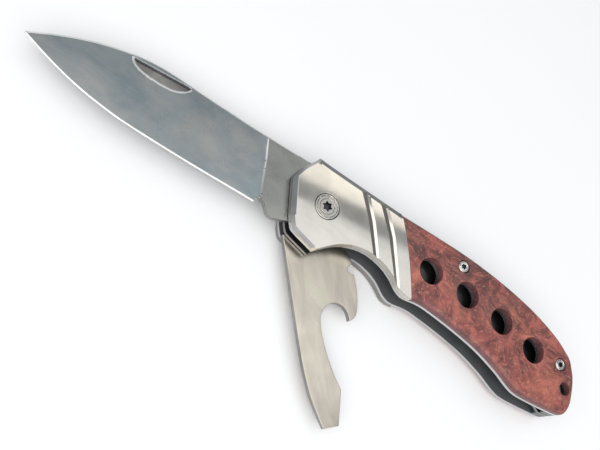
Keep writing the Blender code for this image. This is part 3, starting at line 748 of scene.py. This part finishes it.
def scale_plate(inset):
    """A scale's plate with its free rim moved inwards, the distance to that rim, and the face's relief."""
    outline = wood_outline + inwards(wood_outline) * np.where(near_seam(wood_outline), 0, inset)[:, None]
    plate = Plate(outline, [circle(*hole) for hole in wood_holes], 0.6 * MM, WOOD_RINGS)
    gap = plate.gaps(plate.points, plate.outer & ~near_seam(plate.middles))
    relief = np.maximum(eased(gap, WOOD_ROUND), eased(plate.gap, WOOD_EASE))
    relief += WOOD_CROWN * np.clip(1 - gap / WOOD_CROWN_SPAN, 0, 1) ** 2
    relief += crown(plate.points) * np.clip(1 - gap_to(plate.points, seam) / SEAM_BLEND, 0, 1) ** 2
    return plate, gap, relief


wood, _, relief = scale_plate(0)
wood.built("front_scale_burl", front_inner, FRONT - relief, wood_look, "front_scale")
wood, rim_gap, relief = scale_plate(REAR_INSET)
relief = np.maximum(relief, REAR_BEVEL_DEPTH * np.clip(1 - rim_gap / REAR_BEVEL, 0, 1))
wood.built("rear_scale_burl", REAR + relief, rear_inner, wood_look, "rear_scale")

# ---------------------------------------------------------------- liners and springs


def flat_piece(node, look, ease=0.1 * MM, sides=None):
    """A sheet piece with its edges eased and its holes round."""
    loops = section(node, between(node))
    holes = [circle(*as_circle(loop)) for loop in loops[1:]]
    plate = Plate(rounded(loops[0]), holes, 2.0 * MM, (0.03, 0.1))
    drop = eased(plate.gap, ease)
    plate.built(node + "_sheet", level(node, False) + drop, level(node, True) - drop, look, node, sides=sides)


LINER_EASE = 0.05 * MM
# The liners' faces take painted shade; their edges are ground steel.
for liner_node in ("front_liner", "rear_liner"):
    flat_piece(liner_node, slot_shade_look, LINER_EASE, liner_look)
# The centre liner takes painted shade on its faces and its edges.
flat_piece("centre_liner", shade_look, LINER_EASE, side_shade_look)
for spring_node in ("blade_back_spring", "tool_back_spring"):
    flat_piece(spring_node, spring_look)

# ---------------------------------------------------------------- screws

HEAD_POINTS = 72
SHANK_POINTS = 48
HEAD_EASE = 0.2 * MM
TURNED_DEPTH = 0.1 * MM  # of the rings turned into a head, and about half their width
TURNED_OFFSETS = (-0.12, -0.04, 0.04, 0.12)  # millimetres from a ring's middle to the points that carry it


def lobed(radius, centre, count=96):
    """The outline of a six-lobed recess, its lobes rounder than the hollows between them."""
    angles = np.arange(count) * 2 * math.pi / count
    reach = radius * (1 + 0.17 * np.cos(6 * angles) + 0.035 * np.cos(12 * angles))
    return np.stack([centre[0] + reach * np.cos(angles), centre[1] + reach * np.sin(angles)], 1)


def screw(node, face, under, end, shank_radius, look, rings, recess=0, recess_depth=0, bore=0, floor=0):
    """A headed screw or barrel. face, under, end and floor are heights, and the head faces away from end.

    recess is the radius of a lobed recess in the head, and rings are the shares of the head's radius at which
    rings are turned into it. The recess and the rings are painted with shade. A barrel has a bore of this
    radius from its end down to the floor.
    """
    lowest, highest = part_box(node)
    centre = np.array([(lowest.x + highest.x) / 2, (lowest.y + highest.y) / 2])
    radius = (highest.x - lowest.x) / 2
    lines = ring_lines(centre, shank_radius, SHANK_POINTS)
    if recess:
        lines += [closed(lobed(recess + gap * MM, centre)) for gap in (-0.05, 0)]
    if bore:
        lines += ring_lines(centre, bore, SHANK_POINTS)
    ring_radii = [radius * share + gap * MM for share in rings for gap in TURNED_OFFSETS]
    turned = [circle(centre, ring_radius, HEAD_POINTS) for ring_radius in ring_radii]
    head = circle(centre, radius, HEAD_POINTS)
    plate = Plate(head, (), 0.3 * MM, (0.05, 0.12, 0.2), lines, np.concatenate(turned))
    reach = np.linalg.norm(plate.points - centre, axis=1)
    drop = eased(plate.gap, HEAD_EASE)
    # Painted shade in the turned rings and in the recess.
    shaded_hollow = np.zeros(len(reach), bool)
    for share in rings:
        from_ring = np.abs(reach - radius * share)
        drop = np.maximum(drop, TURNED_DEPTH * np.clip(1.25 - from_ring / TURNED_DEPTH, 0, 1))
        shaded_hollow |= from_ring < TURNED_DEPTH / 2
    if recess:
        drop = np.where(inside(plate.points, lobed(recess - 2 * MARGIN, centre)), recess_depth, drop)
        shaded_hollow |= inside(plate.points, lobed(recess + MARGIN, centre))
    outside = np.where(reach < shank_radius - MARGIN, end, under)
    outside = np.where(reach < bore - 2 * MARGIN, floor, outside)
    low, high = (outside, face - drop) if face > end else (face + drop, outside)
    plate.built(node + "_turned", low, high, look, node, marked=[(shade_look, shaded_hollow, BOTH_FACES)])


screw(
    "pivot_screw",
    face=FRONT - 0.03 * MM,
    under=FRONT - 1.2 * MM,
    end=5 * MM,
    shank_radius=1.1 * MM,
    look=screw_look,
    rings=(0.6, 0.84),
    recess=1.25 * MM,
    recess_depth=0.9 * MM,
)
screw(
    "pivot_barrel",
    face=REAR,
    under=1.2 * MM,
    end=level("pivot_barrel", True),
    shank_radius=2.4 * MM,
    look=screw_look,
    rings=(0.8,),
    bore=1.3 * MM,
    floor=3 * MM,
)
for place in ("fore", "aft"):
    for side, faces_up in (("front", True), ("rear", False)):
        node = f"{side}_{place}_screw"
        face, end = level(node, faces_up), level(node, not faces_up)
        screw(
            node,
            face=face,
            under=face - math.copysign(0.9 * MM, face - end),
            end=end,
            shank_radius=0.75 * MM,
            look=pale_look,
            rings=(0.78,),
            recess=0.78 * MM,
            recess_depth=0.55 * MM,
        )

# ---------------------------------------------------------------- blade

# Lines on the blade, in millimetres. The nick lies between its arc and its line, which is nearer the spine.
PLUNGE = [(-15.9, -7.6), (-16.2, -6.3), (-17.7, -2.2), (-19.5, 3.3), (-21.7, 8.8), (-22.2, 10.2)]
NICK_ARC = [(-62.4, 5.9), (-61.7, 5.0), (-60.6, 4.4), (-59.3, 3.95), (-57.8, 3.75), (-56.2, 3.7)]
NICK_ARC += [(-53.3, 3.8), (-50.5, 4.2), (-49.2, 4.6), (-48, 5.2), (-47, 5.95), (-46.2, 6.9), (-45.9, 7.5)]
NICK_LINE = [(-62.4, 5.75), (-58.4, 6.2), (-46.9, 7.7), (-45.9, 7.8)]
NICK_BOX = (-63, 3.2), (-45.4, 8.4)

PLUNGE_WIDTH = 0.45 * MM
NEAR_PLUNGE = 0.02  # a share of that width
STEP_FROM = -25 * MM  # the CAD's small step in the spine lies between these X
STEP_TO = -20.5 * MM
EDGE_END = -17.3 * MM  # the edge runs from the tip to this X, and the tang's eased rim from here on
TIP_Y = -5.2 * MM  # the rim is edge below about the tip's height, and spine above it
SPINE_END = -9 * MM
EDGE_HALF = 0.04 * MM  # half the thickness at the edge, and where its bevel meets the ground face
BEVEL_HALF = 0.28 * MM
BEVEL_WIDTH = 0.34 * MM
GRIND_SPAN = 19.0 * MM  # how far from the bevel a ground face would reach the tang's thickness
SPINE_CHAMFER = 0.32 * MM
CHAMFER_SLOPE = 0.8
SPINE_LINE = 0.43 * MM  # the painted highlight along the spine, and the X up to which it runs
SPINE_LINE_END = -12 * MM
TANG_EASE = 0.12 * MM
NICK_DEPTH = 0.42 * MM
NICK_WALL = 0.4 * MM  # from its line, the nick comes up to the face over this width
NICK_STEP = 0.3  # the share of the nick's depth that it drops at once at its arc
NICK_FULL = 1.4 * MM  # where arc and line are nearer than this, the nick is shallower
NICK_RIM = 0.4 * MM  # the width of the painted highlight along the arc, and of the painted shadow along the line
BLADE_SHARP = 20  # degrees

blade_low, blade_high = level("main_blade", False), level("main_blade", True)
blade_middle = (blade_low + blade_high) / 2
blade_half = (blade_high - blade_low) / 2


def blade_plate():
    """The blade's plate, whose spine runs smoothly past the CAD's small step where the tang starts."""
    outline, pivot_hole = section("main_blade", blade_middle)[:2]
    x, y = outline.T
    outline = outline[~((x > STEP_FROM) & (x < STEP_TO) & (y > 0))]
    plunge_lines = [line_of(PLUNGE[1:-1], 0.3 * MM) + (shift, 0) for shift in (-PLUNGE_WIDTH, 0)]
    arc_lines = [line_of(NICK_ARC, 0.2 * MM) + (0, shift * MM) for shift in (-0.25, -0.12, 0, 0.12)]
    low, high = np.array(NICK_BOX) * MM
    nick_grid = np.meshgrid(np.arange(low[0], high[0], 0.16 * MM), np.arange(low[1], high[1], 0.13 * MM))
    return Plate(
        rounded(outline, 0.3 * MM),
        [circle(*as_circle(pivot_hole))],
        0.8 * MM,
        (0.08, 0.2, 0.34, 0.42, 0.5),
        ring_lines((0, 0), WASHER_SEAT_R),
        extra=np.concatenate([*plunge_lines, *arc_lines, np.stack(nick_grid, -1).reshape(-1, 2)]),
    )


def nick_cut(points, arc, line):
    """The nick's depth at each point: a lip at its arc, then deeper up to its line, and a steep wall back."""
    arc_y = np.interp(points[:, 0], arc[:, 0], arc[:, 1], 1, 1)
    line_y = np.interp(points[:, 0], line[:, 0], line[:, 1])
    up_arc = np.clip((points[:, 1] - arc_y) / np.maximum(line_y - arc_y, 0.05 * MM), 0, 1)
    past_line = np.clip(1 - (points[:, 1] - line_y) / NICK_WALL, 0, 1)
    size = np.clip((line_y - arc_y) / NICK_FULL, 0, 1)
    return NICK_DEPTH * size * np.minimum(NICK_STEP * (up_arc > 0) + (1 - NICK_STEP) * up_arc, past_line)


blade = blade_plate()
rim, points = blade.middles, blade.points
on_edge = blade.outer & (rim[:, 0] < EDGE_END) & (rim[:, 1] < TIP_Y)
on_spine = blade.outer & (rim[:, 0] < SPINE_END) & (rim[:, 1] > TIP_Y)
edge_gap = blade.gaps(points, on_edge)
spine_gap = blade.gaps(points, on_spine)
past_plunge = (points[:, 0] - x_on(PLUNGE, points[:, 1])) / PLUNGE_WIDTH + 1

bevel = EDGE_HALF + (BEVEL_HALF - EDGE_HALF) * edge_gap / BEVEL_WIDTH
ground = BEVEL_HALF + (blade_half - BEVEL_HALF) * (edge_gap - BEVEL_WIDTH) / GRIND_SPAN
ground = np.where(edge_gap < BEVEL_WIDTH, bevel, ground)
half = ground + (blade_half - ground) * np.clip(past_plunge, 0, 1)
half = np.minimum(half, blade_half - CHAMFER_SLOPE * np.clip(SPINE_CHAMFER - spine_gap, 0, 1))
tang_ease = eased(blade.gap, TANG_EASE) * (points[:, 0] > EDGE_END)
half = np.clip(half - tang_ease, EDGE_HALF, blade_half) - seat_drop(points)

nick_arc, nick_line = np.array(NICK_ARC) * MM, np.array(NICK_LINE) * MM
nick = nick_cut(points, nick_arc, nick_line)
in_nick = nick > 2 * MARGIN
# Painted highlight along the nick's arc, and painted shadow along its line.
nick_highlight = (gap_to(points, nick_arc) < NICK_RIM) & (nick < 0.2 * MM)
nick_shadow = in_nick & (gap_to(points, nick_line) < NICK_RIM)
# Painted highlights on the edge's bevel, along the spine and along the plunge.
painted_highlights = (edge_gap < BEVEL_WIDTH + MARGIN) | (spine_gap < SPINE_LINE) & (points[:, 0] < SPINE_LINE_END)
painted_highlights |= (past_plunge > -NEAR_PLUNGE) & (past_plunge < 1 + NEAR_PLUNGE)
# The blade's walls take painted shade, and its nick a darker look for its shade.
blade.built(
    "main_blade_ground",
    blade_middle - half,
    blade_middle + half - nick,
    blade_look,
    "main_blade",
    BLADE_SHARP,
    side_shade_look,
    [
        (tang_look, past_plunge > 1 - NEAR_PLUNGE, BOTH_FACES),
        (nick_shade_look, in_nick, UPPER_FACE),
        (shade_look, nick_shadow, UPPER_FACE),
        (highlight_look, nick_highlight, UPPER_FACE),
        (highlight_look, painted_highlights, BOTH_FACES),
    ],
)

# ---------------------------------------------------------------- bottle opener and driver tip

TIP_FROM = 49.5 * MM  # how far along the tool its faces start to fall towards the tip, and how steeply
TIP_FALL = 0.03
TOOL_EASE = 0.15 * MM
TOOL_SHARP = 25  # degrees

tool_low, tool_high = level("bottle_opener", False), level("bottle_opener", True)
tool_outline, tool_hole = section("bottle_opener", between("bottle_opener"))[:2]
tool = Plate(
    rounded(tool_outline, 0.3 * MM),
    [circle(*as_circle(tool_hole))],
    1.0 * MM,
    (0.05, 0.12, 0.2),
    ring_lines((0, 0), WASHER_SEAT_R),
)
along = tool.points[:, 0] * math.cos(TOOL_TURN) - tool.points[:, 1] * math.sin(TOOL_TURN)
tip_drop = TIP_FALL * np.maximum(along - TIP_FROM, 0)
drop = eased(tool.gap, TOOL_EASE) + tip_drop + seat_drop(tool.points)
# The tool's walls take painted shade.
tool.built(
    "bottle_opener_ground",
    tool_low + drop,
    tool_high - drop,
    tool_look,
    "bottle_opener",
    TOOL_SHARP,
    side_shade_look,
)

# ---------------------------------------------------------------- what stays from the CAD

for node in ("fore_pillar", "aft_pillar"):
    frame["nodes"][node].data.materials[0] = screw_look
for node in ("blade_washer_front", "blade_washer_rear", "tool_washer_front", "tool_washer_rear"):
    frame["nodes"][node].data.materials[0] = bronze_look

# ---------------------------------------------------------------- floor, light and camera


FLOOR_REACH = 3  # metres to each side


def floor_material():
    look = Look("pale_floor")
    mottle = look.noise(look.place, 6.0, 3.0)
    shade = look.ramp(mottle, [(0, (0.90, 0.89, 0.88)), (1, (0.94, 0.93, 0.915))])
    return look.set(Base_Color=shade, Roughness=0.8)


floor_corners = [(x * FLOOR_REACH, y * FLOOR_REACH, 0) for x, y in ((-1, -1), (1, -1), (1, 1), (-1, 1))]
floor_data = bpy.data.meshes.new("floor")
floor_data.from_pydata(floor_corners, [], [(0, 1, 2, 3)])
floor_data.materials.append(floor_material())
floor = bpy.data.objects.new("floor", floor_data)
floor.location.z = REAR - 0.02 * MM
bpy.context.scene.collection.objects.link(floor)
floor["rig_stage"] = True


LIGHT_DISTANCE = 1.0  # metres from the pivot


def toward(azimuth, elevation):
    """The direction from the pivot at these angles, in degrees: round from X towards Y, and up."""
    turn, rise = math.radians(azimuth), math.radians(elevation)
    return Vector((math.cos(turn) * math.cos(rise), math.sin(turn) * math.cos(rise), math.sin(rise)))


def softbox(name, first, last, breadth, radiance, colour=(1, 1, 1)):
    """A rectangular light on the object, one edge of which runs between two directions, in degrees.

    From there it reaches breadth degrees further, to the left of that edge as seen from the object.
    """
    first, last = toward(*first), toward(*last)
    middle = (first + last).normalized()
    edge = (last - first).normalized()
    half = math.radians(breadth / 2)
    out = edge.cross(middle)
    centre = (middle * math.cos(half) + out * math.sin(half)).normalized()
    data = bpy.data.lights.new(name, "AREA")
    data.shape = "RECTANGLE"
    data.color = colour
    data.size = (last - first).length * LIGHT_DISTANCE
    data.size_y = 2 * math.tan(half) * LIGHT_DISTANCE
    data.energy = math.pi * data.size * data.size_y * radiance
    made = bpy.data.objects.new(name, data)
    axes = Matrix((edge, centre.cross(edge), centre)).transposed()
    made.matrix_world = Matrix.Translation(centre * LIGHT_DISTANCE) @ axes.to_4x4()
    bpy.context.scene.collection.objects.link(made)


softbox("main", (72, 62), (40, 49.5), breadth=22, radiance=0.9, colour=(0.95, 0.97, 1.0))
softbox("strip", (46, 47.8), (74, 55), breadth=6, radiance=1.25, colour=(1.0, 0.97, 0.9))
softbox("overhead", (125, 60), (35, 60), breadth=40, radiance=1.05)
softbox("front_left", (262, 25), (192, 25), breadth=45, radiance=1.6)
softbox("front_right", (335, 25), (265, 25), breadth=45, radiance=1.6)

world = bpy.data.worlds.new("studio")
world.use_nodes = True
world.node_tree.nodes["Background"].inputs["Color"].default_value = (0.92, 0.98, 1.06, 1)
world.node_tree.nodes["Background"].inputs["Strength"].default_value = 0.4
bpy.context.scene.world = world
bpy.context.scene.view_settings.view_transform = "Standard"

# The camera's place, the directions of its image's right and down, and its line of sight.
CAMERA_PLACE = (-0.05365, -0.10404, 0.18908)
CAMERA_RIGHT = Vector((0.80429, 0.40017, 0.4393))
CAMERA_DOWN = Vector((0.54422, -0.7929, -0.2741))
CAMERA_SIGHT = Vector((0.23863, 0.45954, -0.8555))

camera_data = bpy.data.cameras.new("camera")
camera_data.sensor_width = 36
camera_data.lens = 48
camera_data.clip_start = 0.01
camera = bpy.data.objects.new("camera", camera_data)
axes = Matrix((CAMERA_RIGHT, -CAMERA_DOWN, -CAMERA_SIGHT)).transposed()
camera.matrix_world = Matrix.Translation(CAMERA_PLACE) @ axes.to_4x4()
bpy.context.scene.collection.objects.link(camera)
bpy.context.scene.camera = camera

boxes = {"cad": cad_box, "visual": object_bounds()}
{name: [list(corner) for corner in box] for name, box in boxes.items()}
